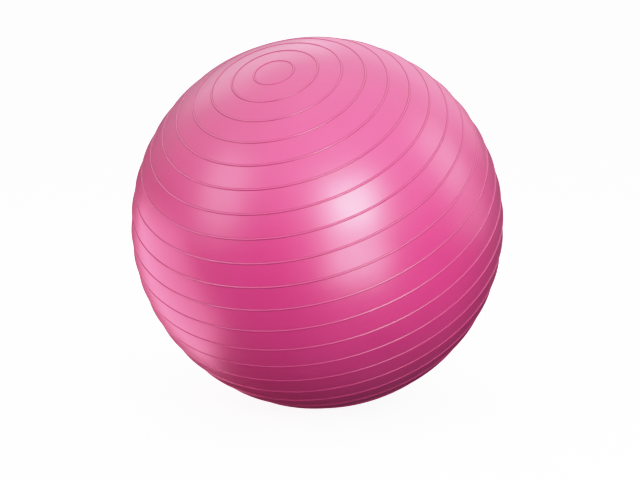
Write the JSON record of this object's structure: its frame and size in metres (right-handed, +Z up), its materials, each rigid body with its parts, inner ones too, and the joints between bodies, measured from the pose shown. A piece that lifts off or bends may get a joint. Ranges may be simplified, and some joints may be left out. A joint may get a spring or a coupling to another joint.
{
  "type": "exercise ball",
  "caption": "Inflatable ball with a soft ribbed PVC skin, a valve insert bonded into its wall and a push-in plug, resting on a small flat patch.",
  "frame": {"origin": "centre of the flat patch that the ball stands on, straight below the ball's centre", "axes": "+Z up; -Y is the front, towards which the upper end of the rib axis leans, 30.5 degrees from upright and 26 degrees round towards -X"},
  "size_m": [0.6498, 0.65, 0.6466],
  "materials": {
    "ball_skin": "satin",
    "valve_bush": "satin",
    "plug_white": "satin"
  },
  "bodies": {
    "ball": {"ball_shell": "ball_skin", "valve_insert": "valve_bush"},
    "plug": {"valve_plug": "plug_white"}
  },
  "joints": [
    {"name": "plug_pull", "type": "slide", "parent": "ball", "child": "plug", "axis": [0.2225, 0.4562, -0.8616], "range_m": [0, 0.035]}
  ]
}
